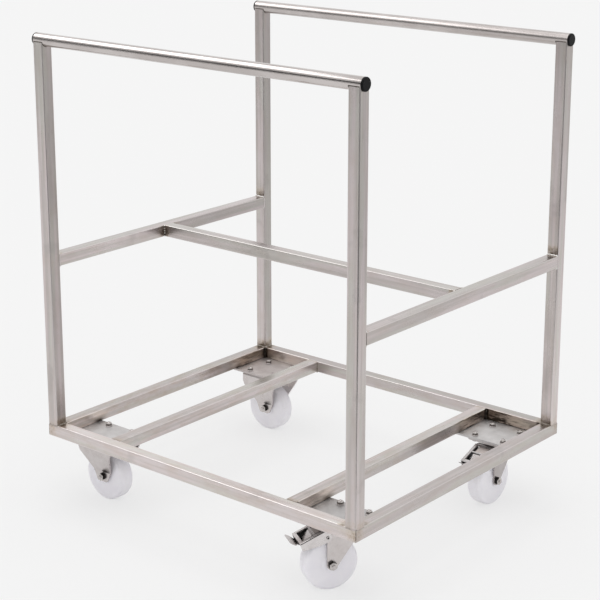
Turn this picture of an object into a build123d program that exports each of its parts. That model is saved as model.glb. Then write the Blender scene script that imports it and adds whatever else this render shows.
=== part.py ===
"""Bin dolly: a welded square-tube frame on two fixed and two braked swivel casters.

Millimetres. The origin lies on the floor below the middle of the frame, +Z is up, +X runs along the
push rails from the fixed casters to the swivel casters, and +Y runs from the front hoop to the back hoop.
Caster pieces are drawn in a caster's own frame: its x axis points the way the wheel trails, its y axis
runs along the axle, and its z axis is the swivel axis with zero on the floor.
"""

from build123d import *

import math
import os

# Frame of square tube
FRAME_LENGTH = 950.0
FRAME_WIDTH = 800.0
TUBE = 30.0
TUBE_WALL = 2.0
TUBE_CORNER = 2.5
FRAME_BOTTOM = 165.0
MID_RAIL_RISE = 428.0
PUSH_RAIL_RISE = 970.0
INNER_RAIL_INSET = 187.0

# Push rails and their plugs
RAIL_RADIUS = 15.0
RAIL_WALL = 2.0
SADDLE_DROP = 4.0
CAP_HEAD = 5.0
CAP_ROUND = 2.5
CAP_SHANK = 18.0
CAP_SHANK_FIT = 0.05

# Plates welded under the tubes, and the bolts through them
PLATE_THICKNESS = 5.0
PLATE_LAP = 13.0
PLATE_REACH = 150.0
PLATE_ROUND = 6.0
CASTER_INSET = 97.0
BOLT_SPACING_X = 80.0
BOLT_SPACING_Y = 76.0
BOLT_RADIUS = 4.0
BOLT_HOLE_RADIUS = 4.5
BOLT_FLATS = 13.0
BOLT_HEAD = 5.3
NUT_HEIGHT = 6.5
BOLT_END = 2.0
WASHER_RADIUS = 8.0
WASHER_THICKNESS = 1.6
THREAD_GAP = 0.05

# Casters
WHEEL_RADIUS = 62.5
TREAD_WIDTH = 40.0
TREAD_ROUND = 9.0
HUB_RADIUS = 17.0
HUB_LENGTH = 44.0
HUB_FLARE = 5.0
SHEET = 4.0
SHEET_BEND = 5.0
CASTER_PLATE_X = 110.0
CASTER_PLATE_Y = 104.0
CASTER_PLATE_ROUND = 9.0
LEG_GAP = 46.0
TRAIL = 35.0

# Fixed bracket
SHOULDER_Z = 128.0
WAIST_Z = 76.0
BRACKET_SHOULDER_Z = 138.0
BRACKET_TOE = 13.0
BRACKET_TOE_WIDTH = 37.0
BRACKET_TOE_ROUND = 7.0

# Wheel bearing, from the wheel inwards
BUSH_RADIUS = 10.5
SLEEVE_RADIUS = 7.5
RUNNING_GAP = 0.05
AXLE_RADIUS = 5.0
AXLE_FLATS = 17.0
AXLE_HEAD = 6.4
AXLE_NUT = 8.0
AXLE_END = 3.0

# Swivel head
CROWN_UNDERSIDE = 136.0
RACE_INNER = 19.0
RACE_OUTER = 34.0
RACE_SPLIT = 149.0
RACE_GAP = 3.0
BALL_RADIUS = 4.0
BALL_PITCH_RADIUS = 26.5
BALL_COUNT = 14
GROOVE_RADIUS = 4.4
BALL_CLEARANCE = 0.3
KING_RADIUS = 6.0
KING_HEAD_RADIUS = 12.0
KING_HEAD_DEPTH = 6.0
KING_FLATS = 18.0
KING_NUT = 7.0
KING_NUT_GAP = 0.3
KING_END = 2.0

# Swivel fork, in the caster's own x and z
FORK_TOE = 12.0
FORK_FRONT = -34.0
FORK_BACK = 47.0
CROWN_BACK = 38.0

# Brake, in the caster's own x and z
PIVOT_X = 46.6
PIVOT_Z = 130.0
PIVOT_RADIUS = 3.0
PIVOT_EAR = 8.5
PIVOT_HEAD_RADIUS = 4.2
PIVOT_HEAD = 1.2
PEDAL_SHEET = 2.5
PEDAL_SIDE_GAP = 0.5
PEDAL_START_X = 50.0
PEDAL_START_Z = 149.0
PEDAL_END_X = 110.0
PEDAL_END_Z = 124.0
PEDAL_WINDOW_START = 0.46
PEDAL_WINDOW_END = 0.88
PEDAL_WINDOW_WIDTH = 42.0
CHEEK_LOW = ((104.0, 107.0), (66.0, 113.0))
TOE_SHEET = 2.0
TOE_BEND = 4.0
TOE_WIDTH = 30.0
TOE_LEVEL = 0.50
TOE_LOW = (97.0, 114.0)
TOE_ROOT = (112.0, 118.0)
TOE_TIP = (130.0, 127.0)
TAB_START_X = 114.0
TAB_WIDTH = 48.0
TAB_ROUND = 7.0
SHOE_WIDTH = 26.0
SHOE_START_X = 53.0
SHOE_END_X = 64.0
SHOE_GAP = 4.4

# How the swivel casters stand, as the direction in plan that each wheel trails
TRAIL_ANGLE = {"front": -122.0, "back": -92.0}

# Worked out from the above
HALF_LENGTH = FRAME_LENGTH / 2
HALF_WIDTH = FRAME_WIDTH / 2
FRAME_TOP = FRAME_BOTTOM + TUBE
MID_RAIL_Z = FRAME_BOTTOM + MID_RAIL_RISE + TUBE / 2
PUSH_RAIL_Z = FRAME_BOTTOM + PUSH_RAIL_RISE
CASTER_TOP = FRAME_BOTTOM - PLATE_THICKNESS
CASTER_UNDERSIDE = CASTER_TOP - SHEET
CASTER_X = HALF_LENGTH - (TUBE + INNER_RAIL_INSET) / 2
CASTER_Y = HALF_WIDTH - CASTER_INSET
CROWN_TOP = CROWN_UNDERSIDE + SHEET
LEG_CENTRE = (LEG_GAP + SHEET) / 2
LEG_OUTER = LEG_GAP / 2 + SHEET
SIDES = {"left": -1, "right": 1}
ENDS = {"front": -1, "back": 1}


def square_tube(length):
    """A square tube along X, centred on the origin."""
    outer = RectangleRounded(TUBE, TUBE, TUBE_CORNER)
    bore = Rectangle(TUBE - 2 * TUBE_WALL, TUBE - 2 * TUBE_WALL)
    return extrude(Plane.YZ * (outer - bore), amount=length / 2, both=True)


def base_rail(length, inset):
    """A mitred rail of the base along X, its outer face at y = -inset."""
    tube = Pos(0, TUBE / 2 - inset, FRAME_BOTTOM + TUBE / 2) * square_tube(length)
    plan = Polygon(
        (-length / 2, -inset),
        (length / 2, -inset),
        (length / 2 - TUBE, TUBE - inset),
        (TUBE - length / 2, TUBE - inset),
        align=None,
    )
    return tube & (Pos(0, 0, FRAME_BOTTOM) * extrude(plan, amount=TUBE))


def upright(side, end):
    """A corner post, cut to a saddle where the push rail lies on it."""
    bottom = FRAME_TOP
    top = PUSH_RAIL_Z - SADDLE_DROP
    x = side * (HALF_LENGTH - TUBE / 2)
    y = end * (HALF_WIDTH - TUBE / 2)
    post = Pos(x, y, (bottom + top) / 2) * Rot(0, 90, 0) * square_tube(top - bottom)
    saddle = Pos(x, y, PUSH_RAIL_Z) * Rot(0, 90, 0) * Cylinder(RAIL_RADIUS, 2 * TUBE)
    return post - saddle


def push_rail(end):
    y = end * (HALF_WIDTH - TUBE / 2)
    ring = Circle(RAIL_RADIUS) - Circle(RAIL_RADIUS - RAIL_WALL)
    return Pos(0, y, PUSH_RAIL_Z) * extrude(Plane.YZ * ring, amount=HALF_LENGTH, both=True)


def end_cap(side, end):
    """A plug with a rounded head, pressed into the end of a push rail."""
    shank_radius = RAIL_RADIUS - RAIL_WALL - CAP_SHANK_FIT
    head = Pos(0, 0, CAP_HEAD / 2) * Cylinder(RAIL_RADIUS, CAP_HEAD)
    head = fillet(head.edges().group_by(Axis.Z)[-1], CAP_ROUND)
    shank = Pos(0, 0, -CAP_SHANK / 2) * Cylinder(shank_radius, CAP_SHANK)
    y = end * (HALF_WIDTH - TUBE / 2)
    return Pos(side * HALF_LENGTH, y, PUSH_RAIL_Z) * Rot(0, side * 90, 0) * (head + shank)


def side_mid_rail(side):
    x = side * (HALF_LENGTH - TUBE / 2)
    return Pos(x, 0, MID_RAIL_Z) * Rot(0, 0, 90) * square_tube(FRAME_WIDTH - 2 * TUBE)


def inner_rail(side):
    x = side * (HALF_LENGTH - INNER_RAIL_INSET - TUBE / 2)
    z = FRAME_BOTTOM + TUBE / 2
    return Pos(x, 0, z) * Rot(0, 0, 90) * square_tube(FRAME_WIDTH - 2 * TUBE)


def bolt_places():
    return GridLocations(BOLT_SPACING_X, BOLT_SPACING_Y, 2, 2)


def mount_plate(side, end):
    """The plate that carries a caster, welded below the outer rails and the inner rail."""
    outer_x = HALF_LENGTH - TUBE + PLATE_LAP
    inner_x = HALF_LENGTH - INNER_RAIL_INSET - PLATE_LAP
    outer_y = HALF_WIDTH - TUBE + PLATE_LAP
    inner_y = HALF_WIDTH - PLATE_REACH
    middle_x = side * (outer_x + inner_x) / 2
    middle_y = end * (outer_y + inner_y) / 2
    face = Pos(middle_x, middle_y) * RectangleRounded(
        outer_x - inner_x, outer_y - inner_y, PLATE_ROUND
    )
    holes = Pos(side * CASTER_X, end * CASTER_Y) * bolt_places() * Circle(BOLT_HOLE_RADIUS)
    return Pos(0, 0, CASTER_TOP) * extrude(face - holes, amount=PLATE_THICKNESS)


def hexagon(flats, height, bore=0.0):
    """A hexagon prism that stands on z = 0, with flats square to Y."""
    face = RegularPolygon(flats / 2, 6, major_radius=False)
    if bore:
        face = face - Circle(bore)
    return extrude(face, amount=height)


def at_all_bolts(piece):
    """A copy of the piece on every bolt of the four casters."""
    copies = []
    for side in SIDES.values():
        for end in ENDS.values():
            for place in bolt_places():
                copies.append(Pos(side * CASTER_X, end * CASTER_Y) * place * piece)
    return Compound(children=copies)


def caster_bolts():
    stack = SHEET + PLATE_THICKNESS + WASHER_THICKNESS + NUT_HEIGHT + BOLT_END
    head = Pos(0, 0, CASTER_UNDERSIDE - BOLT_HEAD) * hexagon(BOLT_FLATS, BOLT_HEAD)
    shank = Pos(0, 0, CASTER_UNDERSIDE + stack / 2) * Cylinder(BOLT_RADIUS, stack)
    return at_all_bolts(head + shank)


def caster_washers():
    ring = Circle(WASHER_RADIUS) - Circle(BOLT_HOLE_RADIUS)
    return at_all_bolts(Pos(0, 0, FRAME_BOTTOM) * extrude(ring, amount=WASHER_THICKNESS))


def caster_nuts():
    nut = hexagon(BOLT_FLATS, NUT_HEIGHT, BOLT_RADIUS + THREAD_GAP)
    return at_all_bolts(Pos(0, 0, FRAME_BOTTOM + WASHER_THICKNESS) * nut)


def wheel():
    """A solid nylon wheel about the y axis at the origin, with a raised hub and a bore for its bush."""
    half = TREAD_WIDTH / 2
    profile = Polygon(
        (BUSH_RADIUS, -HUB_LENGTH / 2),
        (HUB_RADIUS, -HUB_LENGTH / 2),
        (HUB_RADIUS + HUB_FLARE, -half),
        (WHEEL_RADIUS, -half),
        (WHEEL_RADIUS, half),
        (HUB_RADIUS + HUB_FLARE, half),
        (HUB_RADIUS, HUB_LENGTH / 2),
        (BUSH_RADIUS, HUB_LENGTH / 2),
        align=None,
    )
    shoulders = profile.vertices().group_by(Axis.X)[-1]
    return revolve(fillet(shoulders, TREAD_ROUND), Axis.Y)


def along_axle(face, length):
    """A solid of the face's section along the y axis, centred on the origin."""
    return extrude(Plane.XZ * face, amount=length / 2, both=True)


def wheel_bush():
    return along_axle(Circle(BUSH_RADIUS) - Circle(SLEEVE_RADIUS + RUNNING_GAP), HUB_LENGTH)


def axle_sleeve():
    return along_axle(Circle(SLEEVE_RADIUS) - Circle(AXLE_RADIUS + THREAD_GAP), LEG_GAP)


def axle_bolt():
    """The bolt along y through legs and sleeve, with its head on the +y side."""
    end = -(LEG_OUTER + AXLE_NUT + AXLE_END)
    shank = Pos(0, (LEG_OUTER + end) / 2, 0) * along_axle(Circle(AXLE_RADIUS), LEG_OUTER - end)
    head = Pos(0, LEG_OUTER, 0) * Rot(-90, 0, 0) * hexagon(AXLE_FLATS, AXLE_HEAD)
    return shank + head


def axle_nut():
    nut = hexagon(AXLE_FLATS, AXLE_NUT, AXLE_RADIUS + THREAD_GAP)
    return Pos(0, -LEG_OUTER, 0) * Rot(90, 0, 0) * nut


def bent_sheet(points, half_length):
    """Sheet metal bent along a line of points in y and z, centred on the sheet, along x."""
    line = FilletPolyline(*points, radius=SHEET_BEND)
    return extrude(Plane.YZ * trace(line, SHEET), amount=half_length, both=True)


def outline_prism(edges):
    """The hull of some edges drawn in x and z, as a prism across all of the caster."""
    return extrude(Plane.XZ * make_hull(edges), amount=CASTER_PLATE_X, both=True)


def bolt_hole_cutter():
    return bolt_places() * (Pos(0, 0, CASTER_TOP) * Cylinder(BOLT_HOLE_RADIUS, 4 * SHEET))


def axle_hole_cutter(x):
    return Pos(x, 0, WHEEL_RADIUS) * along_axle(Circle(AXLE_RADIUS + THREAD_GAP), 4 * LEG_OUTER)


def fixed_bracket():
    """A pressed bracket: a bolted plate whose two edges are folded down and drawn in to the axle."""
    top = CASTER_TOP - SHEET / 2
    wide = (CASTER_PLATE_Y - SHEET) / 2
    toe = WHEEL_RADIUS - BRACKET_TOE
    left = [(-LEG_CENTRE, toe), (-LEG_CENTRE, WAIST_Z), (-wide, SHOULDER_Z), (-wide, top)]
    right = [(-y, z) for y, z in reversed(left)]
    sheet = bent_sheet(left + right, CASTER_PLATE_X / 2)
    upper = Pos(0, (BRACKET_SHOULDER_Z + CASTER_TOP) / 2) * Rectangle(
        CASTER_PLATE_X, CASTER_TOP - BRACKET_SHOULDER_Z
    )
    lower = Pos(0, WHEEL_RADIUS) * RectangleRounded(
        BRACKET_TOE_WIDTH, 2 * BRACKET_TOE, BRACKET_TOE_ROUND
    )
    outline = outline_prism(upper.edges() + lower.edges())
    return (sheet & outline) - bolt_hole_cutter() - axle_hole_cutter(0)


def race_ring(bottom, top):
    ring = Circle(RACE_OUTER) - Circle(RACE_INNER)
    return Pos(0, 0, bottom) * extrude(ring, amount=top - bottom)


def swivel_plate():
    """The bolted top plate of a swivel caster, with the upper ball race below it."""
    face = RectangleRounded(CASTER_PLATE_X, CASTER_PLATE_Y, CASTER_PLATE_ROUND)
    plate = Pos(0, 0, CASTER_UNDERSIDE) * extrude(face, amount=SHEET)
    plate += race_ring(RACE_SPLIT + RACE_GAP / 2, CASTER_UNDERSIDE)
    groove_z = RACE_SPLIT + BALL_RADIUS - GROOVE_RADIUS
    plate -= Pos(0, 0, groove_z) * Torus(BALL_PITCH_RADIUS, GROOVE_RADIUS)
    return plate - king_bolt_solid(KING_HEAD_RADIUS) - bolt_hole_cutter()


def king_bolt_solid(head_radius):
    """The bolt on the swivel axis, its countersunk head flush with the top plate."""
    end = CROWN_UNDERSIDE - KING_NUT_GAP - KING_NUT - KING_END
    profile = Polygon(
        (0, CASTER_TOP),
        (head_radius, CASTER_TOP),
        (KING_RADIUS, CASTER_TOP - KING_HEAD_DEPTH),
        (KING_RADIUS, end),
        (0, end),
        align=None,
    )
    return revolve(Plane.XZ * profile, Axis.Z)


def king_nut():
    z = CROWN_UNDERSIDE - KING_NUT_GAP - KING_NUT
    return Pos(0, 0, z) * hexagon(KING_FLATS, KING_NUT, KING_RADIUS + THREAD_GAP)


def swivel_balls():
    ball = Pos(0, 0, RACE_SPLIT) * Sphere(BALL_RADIUS)
    return [place * ball for place in PolarLocations(BALL_PITCH_RADIUS, BALL_COUNT)]


def swivel_fork():
    """A pressed fork that turns below the plate, with the lower race on its crown and ears for the brake."""
    crown = CROWN_UNDERSIDE + SHEET / 2
    toe = WHEEL_RADIUS - FORK_TOE
    points = [(-LEG_CENTRE, toe), (-LEG_CENTRE, crown), (LEG_CENTRE, crown), (LEG_CENTRE, toe)]
    sheet = bent_sheet(points, CASTER_PLATE_X)
    top = Line((FORK_FRONT, CROWN_TOP), (FORK_BACK, CROWN_TOP))
    axle = Pos(TRAIL, WHEEL_RADIUS) * Circle(FORK_TOE)
    ear = Pos(PIVOT_X, PIVOT_Z) * Circle(PIVOT_EAR)
    ear_root = Pos(CROWN_BACK - PIVOT_EAR, PIVOT_Z) * Circle(PIVOT_EAR)
    outline = outline_prism(top.edges() + axle.edges())
    outline += outline_prism(ear.edges() + ear_root.edges())
    fork = sheet & outline
    window = Box(CASTER_PLATE_X, LEG_GAP, 4 * SHEET, align=(Align.MIN, Align.CENTER, Align.CENTER))
    fork -= Pos(CROWN_BACK, 0, crown) * window
    fork += race_ring(CROWN_TOP, RACE_SPLIT - RACE_GAP / 2)
    groove_z = RACE_SPLIT - BALL_RADIUS - BALL_CLEARANCE + GROOVE_RADIUS
    fork -= Pos(0, 0, groove_z) * Torus(BALL_PITCH_RADIUS, GROOVE_RADIUS)
    fork -= Pos(0, 0, crown) * Cylinder(KING_RADIUS + RUNNING_GAP, 2 * SHEET)
    pin = along_axle(Circle(PIVOT_RADIUS + THREAD_GAP), 4 * LEG_OUTER)
    return fork - axle_hole_cutter(TRAIL) - Pos(PIVOT_X, 0, PIVOT_Z) * pin


def brake_pin():
    """The pin that the pedal turns on, with a flat head at each end."""
    side = LEG_OUTER + 2 * PEDAL_SIDE_GAP + PEDAL_SHEET
    pin = along_axle(Circle(PIVOT_RADIUS), 2 * (side + PIVOT_HEAD))
    for end in ENDS.values():
        y = end * (side + PIVOT_HEAD / 2)
        pin += Pos(0, y, 0) * along_axle(Circle(PIVOT_HEAD_RADIUS), PIVOT_HEAD)
    return Pos(PIVOT_X, 0, PIVOT_Z) * pin


def on_pedal(share, below=0.0):
    """A point in x and z that lies a share of the way along the pedal's top, and so far below it."""
    slope = math.atan2(PEDAL_END_Z - PEDAL_START_Z, PEDAL_END_X - PEDAL_START_X)
    x = PEDAL_START_X + share * (PEDAL_END_X - PEDAL_START_X) + below * math.sin(slope)
    z = PEDAL_START_Z + share * (PEDAL_END_Z - PEDAL_START_Z) - below * math.cos(slope)
    return x, z


def brake_pedal():
    """The foot pedal: two side plates on the pin, joined by a sloping top with a window in it."""
    inner = LEG_OUTER + PEDAL_SIDE_GAP
    outer = inner + PEDAL_SHEET
    eye = Pos(PIVOT_X, PIVOT_Z) * Circle(PIVOT_EAR + 1)
    cheek = Polygon(on_pedal(0), on_pedal(1), *CHEEK_LOW, align=None)
    solid = along_axle(make_hull(cheek.edges() + eye.edges()), 2 * outer)
    slope = [on_pedal(-1, PEDAL_SHEET), on_pedal(2, PEDAL_SHEET), on_pedal(2, 99), on_pedal(-1, 99)]
    solid -= along_axle(Polygon(*slope, align=None), 2 * inner)
    solid = fillet(solid.edges().filter_by(GeomType.LINE).group_by(Axis.Z)[-1], PEDAL_SHEET)
    window = Polygon(
        on_pedal(PEDAL_WINDOW_START, -9),
        on_pedal(PEDAL_WINDOW_END, -9),
        on_pedal(PEDAL_WINDOW_END, 9),
        on_pedal(PEDAL_WINDOW_START, 9),
        align=None,
    )
    solid -= along_axle(window, PEDAL_WINDOW_WIDTH)
    pin = along_axle(Circle(PIVOT_RADIUS + RUNNING_GAP), 4 * LEG_OUTER)
    return solid - Pos(PIVOT_X, 0, PIVOT_Z) * pin


def toe_strip():
    """A tongue that dips in the pedal's window, passes under its end and rises as a rounded toe tab."""
    seat = PEDAL_SHEET + TOE_SHEET / 2
    line = FilletPolyline(
        on_pedal(0.02, seat),
        on_pedal(TOE_LEVEL, seat),
        TOE_LOW,
        TOE_ROOT,
        TOE_TIP,
        radius=TOE_BEND,
    )
    tip = TOE_TIP[0]
    tongue = Pos(TAB_START_X, 0) * Rectangle(tip, TOE_WIDTH, align=(Align.MAX, Align.CENTER))
    tab = Pos(TAB_START_X, 0) * RectangleRounded(
        tip - TAB_START_X, TAB_WIDTH, TAB_ROUND, align=(Align.MIN, Align.CENTER)
    )
    outline = extrude(tongue + tab, amount=2 * PIVOT_Z)
    return along_axle(trace(line, TOE_SHEET), TAB_WIDTH) & outline


def brake_shoe():
    """The block below the strip that meets the tread; its underside follows the wheel."""
    seat = PEDAL_SHEET + TOE_SHEET
    across = Pos((SHOE_START_X + SHOE_END_X) / 2, PIVOT_Z) * Rectangle(
        SHOE_END_X - SHOE_START_X, WHEEL_RADIUS
    )
    under = Polygon(on_pedal(-1, seat), on_pedal(1, seat), (TRAIL, WHEEL_RADIUS), align=None)
    wheel_side = Pos(TRAIL, WHEEL_RADIUS) * Circle(WHEEL_RADIUS + SHOE_GAP)
    return along_axle((across & under) - wheel_side, SHOE_WIDTH)


def on_axle(x, piece, turn=0.0):
    return Pos(x, 0, WHEEL_RADIUS) * Rot(0, 0, turn) * piece


def frame_parts():
    parts = {
        "base_rail_front": base_rail(FRAME_LENGTH, HALF_WIDTH),
        "base_rail_back": Rot(0, 0, 180) * base_rail(FRAME_LENGTH, HALF_WIDTH),
        "base_rail_left": Rot(0, 0, -90) * base_rail(FRAME_WIDTH, HALF_LENGTH),
        "base_rail_right": Rot(0, 0, 90) * base_rail(FRAME_WIDTH, HALF_LENGTH),
        "centre_bar": Pos(0, 0, MID_RAIL_Z) * square_tube(FRAME_LENGTH - 2 * TUBE),
        "caster_bolts": caster_bolts(),
        "caster_washers": caster_washers(),
        "caster_nuts": caster_nuts(),
    }
    caps = []
    for side_name, side in SIDES.items():
        parts[f"inner_rail_{side_name}"] = inner_rail(side)
        parts[f"side_mid_rail_{side_name}"] = side_mid_rail(side)
        for end_name, end in ENDS.items():
            parts[f"upright_{end_name}_{side_name}"] = upright(side, end)
            parts[f"mount_plate_{end_name}_{side_name}"] = mount_plate(side, end)
            caps.append(end_cap(side, end))
    for end_name, end in ENDS.items():
        parts[f"push_rail_{end_name}"] = push_rail(end)
    parts["rail_end_caps"] = Compound(children=caps)
    return parts


def fixed_caster_parts():
    """The two casters on the left, which only roll; their like pieces share one node each."""
    parts = {}
    sleeves = []
    bolts = []
    nuts = []
    for end_name, end in ENDS.items():
        place = Pos(-CASTER_X, end * CASTER_Y, 0)
        parts[f"fixed_bracket_{end_name}"] = place * fixed_bracket()
        parts[f"wheel_{end_name}_left"] = place * on_axle(0, wheel())
        parts[f"wheel_bush_{end_name}_left"] = place * on_axle(0, wheel_bush())
        sleeves.append(place * on_axle(0, axle_sleeve()))
        bolts.append(place * on_axle(0, axle_bolt()))
        nuts.append(place * on_axle(0, axle_nut()))
    parts["fixed_axle_sleeves"] = Compound(children=sleeves)
    parts["fixed_axle_bolts"] = Compound(children=bolts)
    parts["fixed_axle_nuts"] = Compound(children=nuts)
    return parts


def swivel_caster_parts():
    """The two casters on the right, which swivel and carry a brake."""
    parts = {}
    king_bolts = []
    king_nuts = []
    balls = []
    for end_name, end in ENDS.items():
        seat = Pos(CASTER_X, end * CASTER_Y, 0)
        place = seat * Rot(0, 0, TRAIL_ANGLE[end_name])
        parts[f"swivel_plate_{end_name}"] = seat * swivel_plate()
        parts[f"swivel_fork_{end_name}"] = place * swivel_fork()
        parts[f"wheel_{end_name}_right"] = place * on_axle(TRAIL, wheel())
        parts[f"wheel_bush_{end_name}_right"] = place * on_axle(TRAIL, wheel_bush())
        parts[f"axle_sleeve_{end_name}"] = place * on_axle(TRAIL, axle_sleeve())
        parts[f"axle_bolt_{end_name}"] = place * on_axle(TRAIL, axle_bolt(), 180)
        parts[f"axle_nut_{end_name}"] = place * on_axle(TRAIL, axle_nut(), 180)
        parts[f"brake_pin_{end_name}"] = place * brake_pin()
        parts[f"brake_pedal_{end_name}"] = place * brake_pedal()
        parts[f"toe_strip_{end_name}"] = place * toe_strip()
        parts[f"brake_shoe_{end_name}"] = place * brake_shoe()
        king_bolts.append(seat * king_bolt_solid(KING_HEAD_RADIUS))
        king_nuts.append(seat * king_nut())
        balls.extend(seat * ball for ball in swivel_balls())
    parts["king_bolts"] = Compound(children=king_bolts)
    parts["king_nuts"] = Compound(children=king_nuts)
    parts["swivel_balls"] = Compound(children=balls)
    return parts


os.makedirs("parts", exist_ok=True)
for name, piece in (frame_parts() | fixed_caster_parts() | swivel_caster_parts()).items():
    export_step(piece, f"parts/{name}.step")
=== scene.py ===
"""The bin dolly dressed for its picture: finishes on every CAD node, turned fasteners, weld beads."""

import math
from functools import partial, reduce

import bmesh
import bpy
from mathutils import Matrix, Vector


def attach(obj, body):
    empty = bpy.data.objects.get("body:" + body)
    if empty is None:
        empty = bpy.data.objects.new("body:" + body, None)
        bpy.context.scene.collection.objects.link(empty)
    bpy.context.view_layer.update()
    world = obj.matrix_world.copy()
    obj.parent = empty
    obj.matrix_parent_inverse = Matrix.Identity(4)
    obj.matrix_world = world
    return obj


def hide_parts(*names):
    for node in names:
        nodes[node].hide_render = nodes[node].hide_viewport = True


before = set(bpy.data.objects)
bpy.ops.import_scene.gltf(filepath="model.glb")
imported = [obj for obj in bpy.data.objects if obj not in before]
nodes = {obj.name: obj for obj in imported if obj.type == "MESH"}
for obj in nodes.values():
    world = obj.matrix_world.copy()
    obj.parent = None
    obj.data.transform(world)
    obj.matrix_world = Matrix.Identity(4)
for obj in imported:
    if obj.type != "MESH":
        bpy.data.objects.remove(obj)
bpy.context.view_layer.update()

# Frame sizes that the CAD source uses too, in metres
TUBE = 0.030
HALF_LENGTH = 0.475
HALF_WIDTH = 0.400
FRAME_BOTTOM = 0.165
FRAME_TOP = 0.195
MID_RAIL_BOTTOM = 0.593
MID_RAIL_TOP = 0.623
PUSH_RAIL_Z = 1.135
RAIL_RADIUS = 0.015
UPRIGHT_TOP = 1.131
INNER_RAIL_X = 0.273
PLATE_UNDERSIDE = 0.160
PLATE_LAP = 0.013
PLATE_REACH = 0.250
ENDS = {"front": -1, "back": 1}
CORNERS = [(side, end) for side in (-1, 1) for end in ENDS.values()]

# Worked out from them: the outer tubes' inner faces and middle lines, the bays' inner walls
CORNER_X = HALF_LENGTH - TUBE
CORNER_Y = HALF_WIDTH - TUBE
MIDDLE_X = HALF_LENGTH - TUBE / 2
MIDDLE_Y = HALF_WIDTH - TUBE / 2
BASE_Z = (FRAME_BOTTOM + FRAME_TOP) / 2
MID_RAIL_Z = (MID_RAIL_BOTTOM + MID_RAIL_TOP) / 2
BAY_X = INNER_RAIL_X + TUBE / 2

# Caster sizes; waist and shoulder are places on a fixed bracket's leg, across and up
CASTER_UNDERSIDE = 0.156
CASTER_X = 0.3665
CASTER_Y = 0.303
WHEEL_RADIUS = 0.0625
TRAIL = 0.035
TRAIL_ANGLE = {"front": -122.0, "back": -92.0}
LEG_OUTER = 0.027
BRACKET_WAIST = (0.025, 0.0760)
BRACKET_SHOULDER = (0.0500, 0.1280)

# Brake pedals: places along the trail and up, the windows in shares of the way along the top
PEDAL_NEAR, PEDAL_HIGH = 0.050, 0.149
PEDAL_FAR, PEDAL_LOW = 0.110, 0.124
PEDAL_SLOPE = math.atan2(PEDAL_LOW - PEDAL_HIGH, PEDAL_FAR - PEDAL_NEAR)
PEDAL_PIVOT = (0.0466, 0.130)
PEDAL_HALF_WIDTH = 0.030
PEDAL_SHEET = 0.0025
LOWER_WINDOW_START = 0.46
UPPER_WINDOW = (0.07, 0.39)
WINDOW_HALF_WIDTH = 0.021
WINDOW_BAR = PEDAL_NEAR + (PEDAL_FAR - PEDAL_NEAR) * LOWER_WINDOW_START
CUTTER_HALF_DEPTH = 0.009
FOLD_RADIUS = 0.0018
BROAD_FACE = 6e-5
LIP_REACH = 0.0385
LIP_HALF_WIDTH = LEG_OUTER + 0.0004
LIP_CORNER = 0.004
LIP_EASE = 0.0005

# Fasteners; a thread gives its pitch and depth
BOLT_X = 0.040
BOLT_Y = 0.038
BOLT_RADIUS = 0.004
BOLT_FLATS = 0.013
BOLT_HEAD = 0.0053
BOLT_END = 0.0020
BOLT_THREAD = (0.00125, 0.00055)
NUT_HEIGHT = 0.0065
WASHER_HEIGHT = 0.0016
WASHER_RADIUS = 0.008
WASHER_BORE = 0.0042
WASHER_EASE = 0.0004
AXLE_RADIUS = 0.005
AXLE_FLATS = 0.017
AXLE_HEAD = 0.0064
AXLE_NUT = 0.008
AXLE_END = 0.003
AXLE_THREAD = (0.0015, 0.0007)
HEX_TURN = 1.047
CHAMFER_CIRCLE = 0.96
CHAMFER_SLOPE = math.tan(math.radians(30))
THREAD_TIP = 0.0009

# Welds
STITCH = 0.030
STRIP_SUNK = 0.00045
STRIP_DEPTH = 0.0012
STRIP_HEIGHT = 0.0052

# Tones that differ from end to end, set apart as painted light and shade, and colours that several
# finishes share
PEDAL_TONE = {"front": 0.72, "back": 0.52}
PEDAL_INSIDE_SHADE = {"front": 0.030, "back": 0.26}
TOE_TONE = {"front": 0.64, "back": 0.40}
WHEEL_TONE = {"front": 0.96, "back": 1.0}
WELD_OXIDE = (0.16, 0.13, 0.10)

# Light: how bright the backdrop shows, how much it lights, the floor's colour and its own glow
PALE = 0.905
FILL = 0.78
FLOOR = 0.89
GLOW = 0.68
FLOOR_REACH = 40.0
SUN_AWAY = 5.0
MATT = {"Roughness": 1.0, "Specular_IOR_Level": 0.0}

# Camera, fitted to the photograph's straight edges
CAMERA_PLACE = (2.4296, -2.9286, 1.6915)
CAMERA_YAW = 129.8
CAMERA_PITCH = -15.2
CAMERA_SHIFT = -0.1
FOCAL_PIXELS = 1663.6
IMAGE_PIXELS = 600.0


def sum_of(operation, turned=False):
    """A method that puts a value and another through a Math node, the other one first if turned."""

    def method(self, other):
        pair = (other, self) if turned else (self, other)
        return self.sheet.node("ShaderNodeMath", {"operation": operation}, dict(enumerate(pair)))

    return method


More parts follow.
